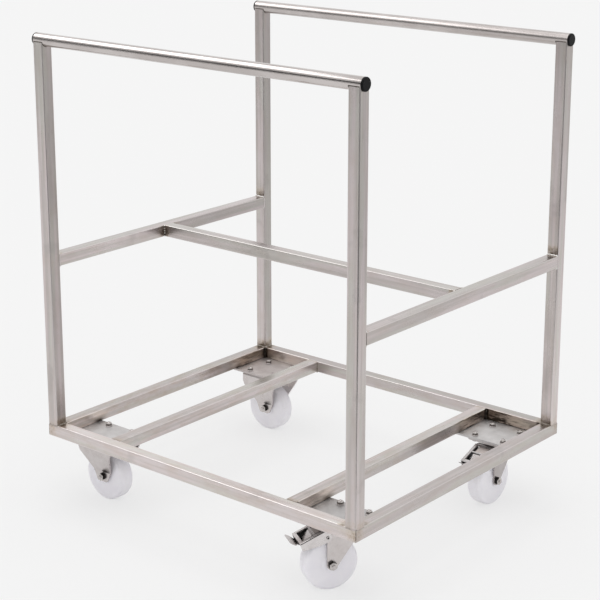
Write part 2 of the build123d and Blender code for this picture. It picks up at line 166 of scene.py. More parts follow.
class Value:
    """A socket that takes part in sums: an expression on values adds its Math nodes."""

    def __init__(self, sheet, socket):
        self.sheet = sheet
        self.socket = socket

    __add__ = __radd__ = sum_of("ADD")
    __sub__, __rsub__ = sum_of("SUBTRACT"), sum_of("SUBTRACT", True)
    __mul__ = __rmul__ = sum_of("MULTIPLY")
    __truediv__, __rtruediv__ = sum_of("DIVIDE"), sum_of("DIVIDE", True)
    most, least = sum_of("MAXIMUM"), sum_of("MINIMUM")

    def math(self, operation):
        return self.sheet.node("ShaderNodeMath", {"operation": operation}, {0: self})

    def __abs__(self):
        return self.math("ABSOLUTE")

    def kept(self):
        """The value held between 0 and 1."""
        settings = {"operation": "ADD", "use_clamp": True}
        return self.sheet.node("ShaderNodeMath", settings, {0: self, 1: 0.0})

    def step(self, low, high):
        """0 below low, 1 above high, smooth between."""
        settings = {"interpolation_type": "SMOOTHSTEP", "clamp": True}
        sockets = {"Value": self, "From Min": low, "From Max": high}
        return self.sheet.node("ShaderNodeMapRange", settings, sockets)

    def fall(self, low, high):
        """1 below low, 0 above high, smooth between."""
        return 1.0 - self.step(low, high)


class Sheet:
    """A node tree, and the one method that adds a node to it."""

    def __init__(self, tree):
        self.tree = tree
        tree.nodes.clear()

    def node(self, kind, settings, sockets, output=0):
        made = self.tree.nodes.new(kind)
        for name, setting in settings.items():
            if name == "stops":
                self.set_stops(made.color_ramp, setting)
            else:
                setattr(made, name, setting)
        for key, value in sockets.items():
            if isinstance(value, Value):
                self.tree.links.new(value.socket, made.inputs[key])
            else:
                made.inputs[key].default_value = value
        return Value(self, made.outputs[output]) if made.outputs else None

    def set_stops(self, ramp, stops):
        while len(ramp.elements) < len(stops):
            ramp.elements.new(0.5)
        for element, (position, colour) in zip(ramp.elements, stops):
            element.position = position
            element.color = paint(colour)


class Finish(Sheet):
    """One procedural material, built from Object coordinates."""

    def __init__(self, name):
        self.material = bpy.data.materials.new(name)
        self.material.use_nodes = True
        super().__init__(self.material.node_tree)
        self.place = self.node("ShaderNodeTexCoord", {}, {}, "Object")

    def part(self, axis):
        """One coordinate of the place on the piece: 0, 1 or 2."""
        return self.node("ShaderNodeSeparateXYZ", {}, {"Vector": self.place}, axis)

    def noise(self, scale, detail=3.0, roughness=0.6, offset=(0.0, 0.0, 0.0)):
        """Noise at one scale per metre, or at its own along each axis."""
        scale = [scale] * 3 if isinstance(scale, float) else scale
        sockets = {"Vector": self.place, "Scale": scale, "Location": offset}
        where = self.node("ShaderNodeMapping", {"vector_type": "POINT"}, sockets)
        sockets = {"Vector": where, "Scale": 1.0, "Detail": detail, "Roughness": roughness}
        return self.node("ShaderNodeTexNoise", {}, sockets)

    def blend(self, factor, low, high, mode="MIX"):
        settings = {"data_type": "RGBA", "blend_type": mode, "clamp_factor": True}
        return self.node("ShaderNodeMix", settings, {0: factor, 6: paint(low), 7: paint(high)}, 2)

    def vector(self, operation, *vectors, output=0):
        sockets = dict(enumerate(vectors))
        return self.node("ShaderNodeVectorMath", {"operation": operation}, sockets, output)

    def clouded(self, scale, dark, light, detail=4.0, high=0.75):
        """Soft clouds between two colours: gives the clouds and the colour."""
        cloud = self.noise(scale, detail)
        return cloud, self.blend(cloud.step(0.3, high), dark, light)

    def principled(self, **sockets):
        """A Principled shader; underscores in the names stand for spaces."""
        named = {name.replace("_", " "): value for name, value in sockets.items()}
        return self.node("ShaderNodeBsdfPrincipled", {}, named)

    def ended(self, shader):
        self.node("ShaderNodeOutputMaterial", {}, {"Surface": shader})
        return self.material

    def surface(self, colour, rough, relief, strength, depth=0.0003, **sockets):
        """Ends the material in one shader with a fine relief."""
        bump = {"Height": relief, "Strength": strength, "Distance": depth}
        normal = self.node("ShaderNodeBump", {}, bump)
        sockets = {"Base_Color": colour, "Roughness": rough.kept(), "Normal": normal, **sockets}
        return self.ended(self.principled(**sockets))

    def metal(self, *layers):
        return self.surface(*layers, Metallic=1.0)


class Pattern(Sheet):
    """A Geometry Nodes tree with named inputs."""

    def __init__(self, name, inputs):
        super().__init__(bpy.data.node_groups.new(name, "GeometryNodeTree"))
        inputs = {"Geometry": "Geometry", **inputs, "Finish": "Material"}
        sockets = [("Geometry", "OUTPUT", "Geometry")]
        sockets += [(label, "INPUT", kind) for label, kind in inputs.items()]
        for label, way, kind in sockets:
            self.tree.interface.new_socket(label, in_out=way, socket_type="NodeSocket" + kind)

    def given(self, label):
        return self.node("NodeGroupInput", {}, {}, label)

    def lines(self):
        """The edges of the mesh that is given, as curves."""
        return self.node("GeometryNodeMeshToCurve", {}, {"Mesh": self.given("Geometry")})

    def chance(self, low, high):
        """A vector between two others, drawn from the pattern's seed."""
        sockets = {"Min": low, "Max": high, "Seed": self.given("Seed")}
        return self.node("FunctionNodeRandomValue", {"data_type": "FLOAT_VECTOR"}, sockets)

    def placed(self, points, piece, **sockets):
        """The piece on every point."""
        sockets = {"Points": points, "Instance": piece, **sockets}
        return self.node("GeometryNodeInstanceOnPoints", {}, sockets)

    def end(self, instances, smooth):
        """Realized instances in the pattern's own finish."""
        mesh = self.node("GeometryNodeRealizeInstances", {}, {"Geometry": instances})
        if smooth:
            mesh = self.node("GeometryNodeSetShadeSmooth", {}, {"Geometry": mesh})
        sockets = {"Geometry": mesh, "Material": self.given("Finish")}
        mesh = self.node("GeometryNodeSetMaterial", {}, sockets)
        self.node("NodeGroupOutput", {}, {"Geometry": mesh})
        return self.tree


def paint(colour):
    """A colour as a socket takes it: a number stands for a grey."""
    if isinstance(colour, Value):
        return colour
    return (colour, colour, colour, 1.0) if isinstance(colour, float) else (*colour, 1.0)


def toned(tone, *shares):
    return [tone * share for share in shares]


def drawn_out(axis, scale, lengthwise):
    """The scales of a noise that is drawn out along one axis."""
    return [lengthwise if index == axis else scale for index in range(3)]


def highest(values):
    return reduce(Value.most, values)


def band(value, centre, width, core=0.0):
    """1 within the core at a place along a piece and 0 beyond the width on both sides."""
    return abs(value - centre).fall(core, width)


def at_face(finish, axis, place):
    """1 on the flat faces that lie at one distance from a middle plane of the dolly."""
    return band(abs(finish.part(axis)), place, 0.0012, 0.0004)


def edge_wear_and_highlight(finish, middle):
    """1 along the rounded edges of a square tube whose middle line is given on the two other axes."""
    reach = [abs(abs(finish.part(axis)) - place) for axis, place in middle.items()]
    return reach[0].least(reach[1]).step(TUBE / 2 - 0.0026, TUBE / 2 - 0.0010)


def weld_heat(finish, lengthwise, welds, reach):
    """Heat beside the welds, ragged at its rim.

    Each weld gives its place along the tube, the face that it lies on and how much colour it left.
    """
    heat = highest([
        band(lengthwise, place, reach) * (0.12 + at_face(finish, axis, face) * 0.88) * strength
        for place, axis, face, strength in welds
    ])
    chips = finish.noise(190.0, 4.0, 0.7, (2.7, 8.3, 1.9))
    return heat + heat.step(0.02, 0.30) * (chips - 0.5) * 1.1


def side_wall_stain_and_shade(front, back, finish):
    """How much staining and painted shade a rail that runs front to back takes in its front bay and
    in its back bay.
    """
    y = finish.part(1)
    along = front + y.step(-0.01, 0.01) * (back - front)
    return along * (1.0 - abs(y).step(CORNER_Y - 0.060, CORNER_Y - 0.015) * 0.7)


def end_wall_stain_and_shade(share, finish):
    """How much staining and painted shade a front or back rail takes: each bay most at its left end.
    """
    x = finish.part(0)
    left_bay = x.fall(-CORNER_X - 0.010, -CORNER_X + 0.085)
    right_bay = 1.65 - x.step(INNER_RAIL_X + TUBE * 2, CORNER_X) * 1.05
    return (left_bay + x.step(0.0, 0.01) * right_bay) * share


def bay_stain_and_shade(finish, axis, face, corners, wall_stain_and_shade, along, lengthwise):
    """Brown staining on a face turned to a caster bay, with painted shade: nearly black in its
    corners, darker towards the bottom and in a line by the plate.

    Each corner gives its place along the rail, how dark the face turns beside it, and how wide it
    is black. Gives the amount of staining and painted shade, the share of brown film, and a mask of
    the face in the bay.
    """
    # Staining streaks, and painted shade: darkest in the bay's corners, darker towards the bottom, in
    # a line along the plate and by the plate's tip.
    streaks = finish.noise(drawn_out(along, 150.0, 26.0), 4.0, 0.65, (6.0, 3.0, 8.0))
    patch = streaks.step(0.42, 0.64)
    corner = highest([band(lengthwise, place, 0.050) * dark for place, dark, _ in corners])
    root = highest([band(lengthwise, place, wide, wide * 0.3) for place, _, wide in corners])
    reach = abs(finish.part(1))
    height = finish.part(2)
    seam = height.fall(FRAME_BOTTOM + 0.0012, FRAME_BOTTOM + 0.0034)
    seam = seam * reach.step(PLATE_REACH - 0.004, PLATE_REACH + 0.004)
    low = height.fall(FRAME_BOTTOM + 0.001, FRAME_BOTTOM + 0.016)
    beside = 0.04 + patch * 0.46 + low * (0.06 + patch * 0.30) + seam * 0.6
    tip = band(reach, PLATE_REACH + 0.006, 0.038)
    tip = tip * height.fall(FRAME_BOTTOM + 0.001, FRAME_BOTTOM + 0.020)
    strength = wall_stain_and_shade(finish)
    amount = beside.most(corner * (1.0 + patch * 0.6)) * strength
    root = root * strength.step(0.0, 0.25) * 0.98
    amount = amount.most(root).most(tip * (1.0 + patch * 0.4))
    bay = reach.step(PLATE_REACH - 0.040, PLATE_REACH + 0.025)
    bay = bay * abs(finish.part(0)).step(INNER_RAIL_X - 0.004, INNER_RAIL_X + 0.004)
    inside = bay * at_face(finish, axis, face)
    return amount * inside, inside * strength, inside


def ground_steel(
    name, along, middle, tone, contrast=1.0, film=0.2, welds=(), reach=0.034, faces=(), rise=None,
    bay=None, mitre=None
):
    """Satin ground stainless tube: long grinding lines, soft clouding, polished edges painted lighter
    as a highlight, heat colour.

    faces gives the axis, place and brightness of the faces that differ, with a second brightness for
    the half of the face that lies towards the back: painted light and shade, each face as lit or
    shaded.
    rise gives the brightness at the bottom and at the top of an upright tube, a painted reflection
    and shade that change with height; film how much brown was left on the tube by handling, mitre how
    far out its mitred ends reach.
    """
    finish = Finish(name)
    lengthwise = finish.part(along) if along == 2 else abs(finish.part(along))
    lines = finish.noise(drawn_out(along, 900.0, 7.0), 4.0, 0.65)
    bands = finish.noise(drawn_out(along, 110.0, 2.5), 2.0, 0.5, (3.1, 1.7, 5.3))
    tint = finish.noise(drawn_out(along, 48.0, 3.5), 2.0, 0.5, (7.7, 4.9, 0.6))
    cloud = finish.noise(9.0, 4.0, 0.6, (1.3, 7.1, 2.9))
    patch = finish.noise(70.0, 3.0, 0.6, (9.4, 2.2, 4.1)).step(0.40, 0.66)
    handled = finish.noise(drawn_out(along, 60.0, 17.0), 5.0, 0.7, (5.5, 0.8, 3.3))
    smudge = finish.noise(11.0, 3.0, 0.55, (8.8, 6.1, 0.4))
    light = toned(tone, 1.13, 1.015, 1.02)
    dark = toned(tone, 0.88, 0.815, 0.79)
    warm = toned(tone, 1.00, 0.87, 0.82)
    green = toned(tone, 0.97, 0.965, 0.89)
    colour = finish.blend((bands.step(0.34, 0.68) - 0.5) * contrast + 0.5, dark, light)
    colour = finish.blend(tint.step(0.46, 0.62) * 0.6, colour, green)
    colour = finish.blend(cloud.step(0.52, 0.78) * 0.55, colour, warm)
    colour = finish.blend((lines - 0.5) * 0.30 + 0.12, colour, dark)
    brown_film = handled.step(0.38, 0.68) * film
    colour = finish.blend(brown_film, colour, (0.82, 0.735, 0.63), "MULTIPLY")
    colour = finish.blend(smudge.step(0.60, 0.70) * 0.30, colour, toned(tone, 0.62, 0.58, 0.56))
    # Painted light and shade: each face listed in faces made lighter or darker as the light falls on
    # it.
    for axis, place, level, back_level in faces:
        change = finish.blend(finish.part(1).step(0.0, TUBE / 2), level, back_level)
        colour = finish.blend(at_face(finish, axis, place), colour, change, "MULTIPLY")
    # Painted reflection and shade: the upright made lighter or darker from its foot to its top.
    if rise:
        height = ((finish.part(2) - FRAME_TOP) / (UPRIGHT_TOP - FRAME_TOP)).kept()
        colour = finish.blend(1.0, colour, finish.blend(height, *rise), "MULTIPLY")
    # Edge wear with a painted highlight: the rounded edges painted lighter.
    edge = edge_wear_and_highlight(finish, middle)
    colour = finish.blend(edge * 0.6, colour, toned(tone, 1.30, 1.23, 1.21))
    edge_grain = 0.04
    if along == 0:
        edge_grain = edge_grain + finish.part(0).step(0.10, 0.45) * 0.10
    rough = 0.30 + (lines - 0.5) * 0.16 + (cloud - 0.5) * 0.14 + edge * edge_grain
    if welds:
        heat = weld_heat(finish, lengthwise, welds, reach)
        straw = toned(tone, 0.92, 0.74, 0.56)
        scorched = toned(tone, 0.24, 0.19, 0.145)
        colour = finish.blend(heat.step(0.0, 0.7) * (0.25 + patch * 0.40), colour, straw)
        colour = finish.blend(heat.step(0.30, 1.0) * (0.30 + patch * 0.50), colour, scorched)
    # Painted light and shade in the caster bays: the faces turned to a bay made lighter, then brown
    # staining, then painted shade, near black towards the corners, the bottom and the plate.
    if bay:
        stain_and_shade, brown_share, inside = bay_stain_and_shade(finish, *bay, along, lengthwise)
        colour = finish.blend(inside, colour, (1.27, 1.26, 1.23), "MULTIPLY")
        colour = finish.blend(brown_share * 0.75, colour, (0.79, 0.725, 0.655), "MULTIPLY")
        colour = finish.blend(stain_and_shade, colour, (0.050, 0.039, 0.030))
    if mitre:
        ground_away = lengthwise.step(mitre - 0.0026, mitre - 0.0006) * (0.35 + patch * 0.45)
        colour = finish.blend(ground_away, colour, (0.06, 0.05, 0.045))
    return finish.metal(colour, rough, (lines + cloud * 0.4) * (1.0 - edge), 0.10, 0.0006)


def polished_rail_steel(name, rough_base):
    """Polished round tube with fine lengthwise lines."""
    finish = Finish(name)
    lines = finish.noise((8.0, 1100.0, 1100.0), 4.0)
    cloud = finish.noise((7.0, 20.0, 20.0), offset=(4.0, 1.0, 2.0))
    colour = finish.blend(cloud.step(0.35, 0.7), (0.515, 0.475, 0.46), (0.615, 0.575, 0.56))
    rough = rough_base + (lines - 0.5) * 0.08 + (cloud - 0.5) * 0.05
    return finish.metal(colour, rough, lines, 0.03, 0.0004)


def pressed_sheet_steel(name, tone, rough_base, inside=None, warmth=1.0):
    """Pressed stainless sheet: faint cloudy polish and scattered handling scratches.

    inside gives a mask of the faces that are painted lighter, a painted reflection of brighter
    surroundings.
    """
    finish = Finish(name)
    pale = [tone * (1.02 - cool * warmth) for cool in (0.0, 0.065, 0.08)]
    dull = [tone * (0.87 - cool * warmth) for cool in (0.0, 0.065, 0.085)]
    cloud, colour = finish.clouded(45.0, dull, pale)
    scratch = finish.noise((260.0, 1900.0, 700.0), 2.0, 0.5, (2.0, 3.0, 1.0))
    colour = finish.blend((scratch - 0.5) * 0.5 + 0.12, colour, toned(0.84, *dull))
    # Painted light: the faces in the inside mask made lighter.
    if inside:
        colour = finish.blend(inside(finish), colour, (0.97, 0.94, 0.93))
    rough = rough_base + (cloud - 0.5) * 0.18 + (scratch - 0.5) * 0.10
    return finish.metal(colour, rough, scratch, 0.05)


def pedal_steel(end_name):
    """Bright pedal sheet, with painted shade inside the pressing and painted shade lines along its
    folds and window rims.
    """
    finish = Finish(f"pedal_steel_{end_name}")
    tone = PEDAL_TONE[end_name]
    cloud, colour = finish.clouded(60.0, toned(tone, 0.90, 0.85, 0.84), toned(tone, 1.08, 1.03, 1.02))
    along, across = swivel_axes(finish, end_name)
    across = abs(across)
    below = (PEDAL_NEAR - along) * -math.sin(PEDAL_SLOPE)
    below = below + (PEDAL_HIGH - finish.part(2)) * math.cos(PEDAL_SLOPE)
    inside = below.step(0.0019, 0.0023) * across.fall(LEG_OUTER + 0.0008, LEG_OUTER + 0.0014)
    # Painted shade lines: near black along the side folds and along the window rims.
    fold_shade_line = across.step(PEDAL_HALF_WIDTH - 0.0010, PEDAL_HALF_WIDTH - 0.0006)
    fold_shade_line = fold_shade_line * below.step(0.0002, 0.0006) * below.fall(0.0022, 0.0027)
    rim = band(across, WINDOW_HALF_WIDTH + 0.0003, 0.0014) * below.fall(0.0003, 0.0008)
    rim = rim * along.step(PEDAL_NEAR + 0.003, PEDAL_NEAR + 0.005)
    rim = rim * along.fall(PEDAL_FAR - 0.006, PEDAL_FAR - 0.004)
    colour = finish.blend(fold_shade_line.most(rim) * 0.92, colour, (0.045, 0.040, 0.036))
    # Painted shade inside the pressing, its darkness set for each end and near black below the bar.
    lower = along.step(WINDOW_BAR - 0.003, WINDOW_BAR)
    inside_shade = finish.blend(lower, PEDAL_INSIDE_SHADE[end_name], (0.030, 0.028, 0.027))
    colour = finish.blend(inside, colour, inside_shade)
    return finish.metal(colour, 0.27 + (cloud - 0.5) * 0.16 + inside * 0.3, cloud, 0.05)


def toe_steel(end_name):
    """The toe strip: bright where it dips and at its tab, with painted shade where it lies below the
    pedal's upper window.
    """
    finish = Finish(f"toe_steel_{end_name}")
    tone = TOE_TONE[end_name]
    cloud, colour = finish.clouded(60.0, toned(tone, 0.86, 0.80, 0.79), toned(tone, 1.04, 0.98, 0.97))
    # Painted shade: the strip darker where the pedal covers it.
    covered_shade = swivel_axes(finish, end_name)[0].fall(WINDOW_BAR - 0.003, WINDOW_BAR)
    colour = finish.blend(covered_shade, colour, (0.47, 0.42, 0.40))
    return finish.metal(colour, 0.26 + (cloud - 0.5) * 0.16 + covered_shade * 0.1, cloud, 0.05)


def pin_steel(end_name):
    """A riveted pivot pin: bright like the pedal's cheek, with painted shade where its end is
    dimpled.
    """
    finish = Finish(f"pin_steel_{end_name}")
    cloud, colour = finish.clouded(300.0, (0.52, 0.49, 0.48), (0.66, 0.63, 0.62), 3.0, 0.7)
    along = swivel_axes(finish, end_name)[0] - PEDAL_PIVOT[0]
    height = finish.part(2) - PEDAL_PIVOT[1]
    radius = (along * along + height * height).math("SQRT")
    # Painted shade: the dimpled end of the pin near black.
    dimple_shade = (radius + (cloud - 0.5) * 0.0006).fall(0.0021, 0.0027)
    colour = finish.blend(dimple_shade, colour, (0.040, 0.036, 0.034))
    return finish.metal(colour, 0.24 + dimple_shade * 0.2, cloud, 0.08)


def dark_flank_steel(name, away, low, high, black):
    """A bright fastener with painted dark reflections on its flanks: away gives the distance that
    runs along its axis.
    """
    finish = Finish(name)
    cloud, colour = finish.clouded(240.0, (0.52, 0.49, 0.47), (0.66, 0.63, 0.61), 3.0, 0.7)
    depth = away(finish) + cloud * 0.0008
    flank = depth.step(low - 0.0004, low + 0.0004) * depth.fall(high - 0.0004, high + 0.0006)
    colour = finish.blend(flank, colour, black)
    return finish.metal(colour, 0.22 + cloud * 0.12 + flank * 0.2, cloud, 0.1)


def weld_steel(name, dark, middle, light, rough_base=0.22):
    """Weld metal: oxide over bright ripples."""
    finish = Finish(name)
    patch = finish.noise(220.0)
    settings = {"stops": [(0.28, dark), (0.46, middle), (0.60, light), (0.80, middle)]}
    colour = finish.node("ShaderNodeValToRGB", settings, {"Fac": patch})
    return finish.metal(colour, rough_base + patch * 0.25, patch, 0.2, 0.0005)


def wheel_nylon(name, tone, centre, axle):
    """Natural white nylon, a little see-through, with faint turned rings and scuffs on the tread."""
    finish = Finish(name)
    offset = finish.vector("SUBTRACT", finish.place, centre)
    across = finish.vector("CROSS_PRODUCT", offset, axle)
    radius = finish.vector("LENGTH", across, output="Value")
    rings = (radius * 2400.0).math("SINE") * 0.5 + 0.5
    tread = radius.step(0.054, 0.0615)
    scuff = finish.noise(160.0, 4.0, 0.65).step(0.48, 0.72)
    cloud = finish.noise(30.0, 3.0, 0.55, (5.0, 2.0, 8.0))
    dull, pale = toned(tone, 0.938, 0.916, 0.975), toned(tone, 0.974, 0.954, 1.0)
    colour = finish.blend(cloud.step(0.3, 0.7), dull, pale)
    colour = finish.blend(tread * scuff * 0.22, colour, (0.70, 0.68, 0.68))
    rough = 0.36 + rings * 0.05 + tread * scuff * 0.20
    depth = {"Subsurface_Radius": (1.0, 1.0, 1.0), "Subsurface_Scale": 0.004, "IOR": 1.5}
    relief = rings * (1.0 - tread) + scuff * tread
    return finish.surface(colour, rough, relief, 0.10, Subsurface_Weight=0.20, **depth)


def moulded_plastic(name, colour, rough_base, gloss=0.5):
    """Moulded plastic or rubber with a fine sparked grain."""
    finish = Finish(name)
    grain = finish.noise(1500.0, 2.0, 0.5)
    cloud = finish.noise(80.0)
    shade = finish.blend(cloud, toned(0.8, *colour), toned(1.3, *colour))
    rough = rough_base + (cloud - 0.5) * 0.2
    return finish.surface(shade, rough, grain, 0.15, Specular_IOR_Level=gloss)


def swivel_place(end_name, along, across, height):
    """A point of a swivel caster, given in its own frame, in the frame of the whole dolly."""
    angle = math.radians(TRAIL_ANGLE[end_name])
    x = CASTER_X + along * math.cos(angle) - across * math.sin(angle)
    y = ENDS[end_name] * CASTER_Y + along * math.sin(angle) + across * math.cos(angle)
    return Vector((x, y, height))


def swivel_axle(end_name):
    """A swivel caster's wheel middle, and the direction of its axle."""
    middle = swivel_place(end_name, TRAIL, 0.0, WHEEL_RADIUS)
    return middle, swivel_place(end_name, TRAIL, 1.0, WHEEL_RADIUS) - middle


def swivel_axes(finish, end_name):
    """The place on a swivel caster along its trail and across it, from the swivel axis."""
    angle = math.radians(TRAIL_ANGLE[end_name])
    x = finish.part(0) - CASTER_X
    y = finish.part(1) - ENDS[end_name] * CASTER_Y
    return x * math.cos(angle) + y * math.sin(angle), y * math.cos(angle) - x * math.sin(angle)


def dress(names, material):
    for name in names:
        mesh = nodes[name].data
        mesh.materials.clear()
        mesh.materials.append(material)


def named(*starts):
    return [name for name in nodes if name.startswith(starts)]


def dress_tube(names, label, *tube, **details):
    dress(names, ground_steel(f"ground_{label}", *tube, **details))


def dress_base():
    """The base rails and the inner rails, ground by hand, with staining and painted shade in the
    caster bays, and their faces lighter or darker as painted light and shade.
    """
    end_corners = ((CORNER_X, 0.45, 0.018), (BAY_X, 0.30, 0.014))
    side_corners = ((CORNER_Y, 0.0, 0.010),)
    # Painted light and shade: the front rail toned lighter than the back one, and their top faces
    # lighter or darker.
    for name, tone, top, stain_and_shade_share in (("front", 0.695, 1.04, 0.5), ("back", 0.62, 0.78, 1.0)):
        dress_tube(
            [f"base_rail_{name}"], f"base_{name}", 0, {1: MIDDLE_Y, 2: BASE_Z}, tone,
            contrast=0.6, film=0.35,
            welds=[(CORNER_X, 2, FRAME_TOP, 1.0), (HALF_LENGTH - 0.008, 1, HALF_WIDTH, 0.58)],
            faces=[(2, FRAME_TOP, top, top)],
            bay=(1, CORNER_Y, end_corners, partial(end_wall_stain_and_shade, stain_and_shade_share)),
            mitre=HALF_LENGTH,
        )
    for name, outer, contrast, film in (("left", 1.0, 1.0, 0.65), ("right", 1.01, 0.6, 0.25)):
        dress_tube(
            [f"base_rail_{name}"], f"base_{name}", 1, {0: MIDDLE_X, 2: BASE_Z}, 0.58,
            contrast=contrast, film=film,
            welds=[(CORNER_Y, 2, FRAME_TOP, 1.0), (HALF_WIDTH - 0.008, 0, HALF_LENGTH, 0.50)],
            faces=[(2, FRAME_TOP, 0.90, 0.90), (0, HALF_LENGTH, outer, outer)],
            bay=(0, CORNER_X, side_corners, partial(side_wall_stain_and_shade, 0.05, 1.20)),
            mitre=HALF_WIDTH,
        )
    dress_tube(
        named("inner_rail"), "inner", 1, {0: INNER_RAIL_X, 2: BASE_Z}, 0.605, film=0.45,
        welds=[(CORNER_Y + 0.012, 2, FRAME_TOP, 1.0)],
        faces=[(2, FRAME_TOP, 0.95, 0.95)],
        bay=(0, BAY_X, side_corners, partial(side_wall_stain_and_shade, 0.65, 1.25)),
    )


def dress_uprights():
    """The uprights, each as bright as its inner face, its foot and its top look in the photograph:
    painted light and shade by face and by height.
    """
    welds = [
        (FRAME_TOP, 0, CORNER_X, 1.0),
        (FRAME_TOP, 1, CORNER_Y, 1.0),
        (FRAME_TOP, 0, HALF_LENGTH, 0.38),
        (FRAME_TOP, 1, HALF_WIDTH, 0.38),
        (MID_RAIL_TOP + 0.004, 1, CORNER_Y, 1.0),
    ]
    for place, inner, foot, top in (
        ("front_left", 0.88, 1.06, 1.00),
        ("front_right", 1.00, 1.03, 0.92),
        ("back_left", 0.78, 1.04, 0.90),
        ("back_right", 1.00, 1.20, 0.79),
    ):
        dress_tube(
            [f"upright_{place}"], f"upright_{place}", 2, {0: MIDDLE_X, 1: MIDDLE_Y}, 0.59,
            welds=welds, faces=[(0, CORNER_X, inner, inner)], rise=(foot, top),
        )


def dress_rails():
    """The mid rails, the centre bar, the mounting plates and the push rails with their plugs."""
    # Painted light and shade: the mid rails' inner, outer and top faces lighter or darker, the left
    # one's inner face darker in its back half.
    for name, inner, inner_back, outer in (("left", 1.17, 0.80, 1.0), ("right", 1.0, 1.0, 1.07)):
        inner_face = (0, CORNER_X, inner, inner_back)
        dress_tube(
            [f"side_mid_rail_{name}"], f"mid_{name}", 1, {0: MIDDLE_X, 2: MID_RAIL_Z}, 0.57,
            welds=[(CORNER_Y + 0.010, 2, MID_RAIL_TOP, 1.0), (TUBE / 2, 0, CORNER_X, 1.0)],
            faces=[inner_face, (0, HALF_LENGTH, outer, outer), (2, MID_RAIL_TOP, 0.95, 0.95)],
        )
    weld = [(CORNER_X, 1, TUBE / 2, 1.0)]
    dress_tube(["centre_bar"], "bar", 0, {1: 0.0, 2: MID_RAIL_Z}, 0.57, welds=weld, reach=0.026)
    # Painted light and shade: each mounting plate toned as lit or shaded as it lies.
    for place, tone, warmth in (
        ("front_left", 0.65, 0.4),
        ("front_right", 0.56, 0.4),
        ("back_left", 0.66, 1.1),
        ("back_right", 0.70, 0.4),
    ):
        finish = pressed_sheet_steel(f"matt_plate_{place}", tone, 0.52, warmth=warmth)
        dress([f"mount_plate_{place}"], finish)
    for name, rough in (("front", 0.14), ("back", 0.27)):
        dress([f"push_rail_{name}"], polished_rail_steel(f"polished_rail_{name}", rough))
    dress(["rail_end_caps"], moulded_plastic("black_plug", (0.006, 0.006, 0.007), 0.42, 0.12))


def far_leg_painted_light(finish):
    """1 inside the back fixed bracket's far leg, which leans outwards above its waist: where it is
    painted lighter.
    """
    across = finish.part(1) - CASTER_Y
    lean = ((finish.part(2) - BRACKET_WAIST[1]) / (BRACKET_SHOULDER[1] - BRACKET_WAIST[1])).kept()
    middle = lean * (BRACKET_SHOULDER[0] - BRACKET_WAIST[0]) + BRACKET_WAIST[0]
    return across.step(0.016, 0.019) * (across - middle).fall(-0.0008, 0.0)


def dress_casters():
    # Painted light and shade: front and back copies of the pressed caster parts toned apart.
    for node, tone, inside in (
        ("fixed_bracket_front", 0.65, None),
        ("fixed_bracket_back", 0.69, far_leg_painted_light),
        ("swivel_fork_front", 0.69, None),
        ("swivel_fork_back", 0.53, None),
        ("swivel_plate_front", 0.60, None),
        ("swivel_plate_back", 0.53, None),
    ):
        dress([node], pressed_sheet_steel(f"pressed_{node}", tone, 0.30, inside))
    dress(named("axle_", "fixed_axle", "king_", "swivel_balls", "caster_"), bright_steel)
    dress(named("wheel_bush"), moulded_plastic("bush_plastic", (0.45, 0.45, 0.44), 0.45))
    dress(named("brake_shoe"), moulded_plastic("brake_rubber", (0.02, 0.02, 0.02), 0.7))
    for name, end in ENDS.items():
        dress([f"brake_pedal_{name}"], pedal_steel(name))
        dress([f"toe_strip_{name}"], toe_steel(name))
        dress([f"brake_pin_{name}"], pin_steel(name))
        fixed = Vector((-CASTER_X, end * CASTER_Y, WHEEL_RADIUS)), (0.0, 1.0, 0.0)
        for side, axle in (("left", fixed), ("right", swivel_axle(name))):
            nylon = wheel_nylon(f"nylon_{name}_{side}", WHEEL_TONE[name], *axle)
            dress([f"wheel_{name}_{side}"], nylon)


def link(name, mesh):
    made = bpy.data.objects.new(name, mesh)
    bpy.context.scene.collection.objects.link(made)
    return made


def mesh_of(name, points, edges=(), faces=()):
    mesh = bpy.data.meshes.new(name)
    mesh.from_pydata([tuple(point) for point in points], list(edges), list(faces))
    mesh.update()
    return mesh


def evaluated_mesh(made):
    evaluated = made.evaluated_get(bpy.context.evaluated_depsgraph_get())
    return bpy.data.meshes.new_from_object(evaluated)


def grown(name, mesh, tree, values):
    """The plain mesh that a Geometry Nodes tree makes from a mesh of points or edges."""
    made = link(name, mesh)
    modifier = made.modifiers.new("pattern", "NODES")
    modifier.node_group = tree
    for item in tree.interface.items_tree:
        if item.in_out == "INPUT" and item.name in values:
            modifier[item.identifier] = values[item.name]
    result = evaluated_mesh(made)
    made.modifiers.remove(modifier)
    made.data = result
    return made


def bead_pattern():
    """Overlapping flattened drops of weld metal along every edge of a mesh."""
    pattern = Pattern("weld_bead", {"Bead Radius": "Float", "Bead Pitch": "Float", "Seed": "Int"})
    sockets = {"Curve": pattern.lines(), "Length": pattern.given("Bead Pitch")}
    lines = pattern.node("GeometryNodeResampleCurve", {"mode": "LENGTH"}, sockets)
    sockets = {"Vector": pattern.node("GeometryNodeInputTangent", {}, {})}
    turn = pattern.node("FunctionNodeAlignRotationToVector", {"axis": "Z"}, sockets)
    sockets = {"Segments": 8, "Rings": 5, "Radius": pattern.given("Bead Radius")}
    drop = pattern.node("GeometryNodeMeshUVSphere", {}, sockets)
    scale = pattern.chance((0.82, 0.82, 0.62), (1.08, 1.08, 0.90))
    return pattern.end(pattern.placed(lines, drop, Rotation=turn, Scale=scale), True)


